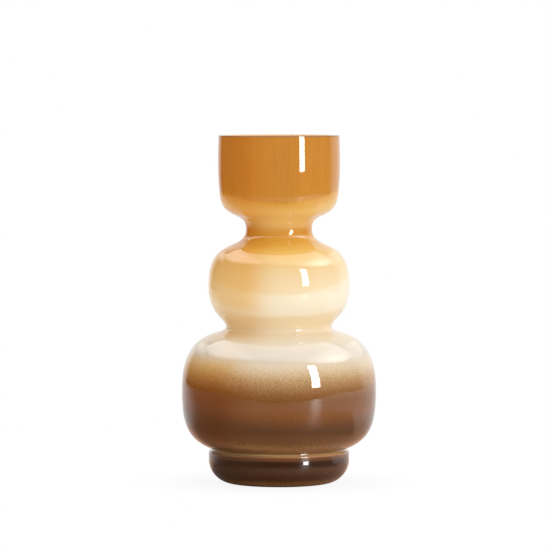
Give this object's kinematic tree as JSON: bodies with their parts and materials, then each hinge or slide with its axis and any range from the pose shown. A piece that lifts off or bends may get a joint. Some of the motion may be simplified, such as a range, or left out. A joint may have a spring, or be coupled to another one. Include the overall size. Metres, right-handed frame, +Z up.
{
  "type": "gourd vase",
  "caption": "Tall gourd-shaped vase of cased glass with a straight mouth cup, narrow throat, two squat bulbs and a rounded foot, shading from amber through cream to dark brown.",
  "frame": {"origin": "centre of the ground ring under the foot, on the table plane", "axes": "+Z up along the axis of the vase towards the mouth; the vase is a solid of revolution, so +X and +Y are free, with -Y facing the camera"},
  "size_m": [0.1956, 0.1956, 0.35],
  "materials": {
    "opal_glass": "gloss",
    "amber_glass": "gloss",
    "cream_glass": "gloss",
    "brown_glass": "gloss",
    "foot_glass": "gloss"
  },
  "bodies": {
    "root": {"opal_core": "opal_glass", "amber_overlay": "amber_glass", "cream_overlay": "cream_glass", "brown_overlay": "brown_glass", "foot": "foot_glass"}
  },
  "joints": []
}
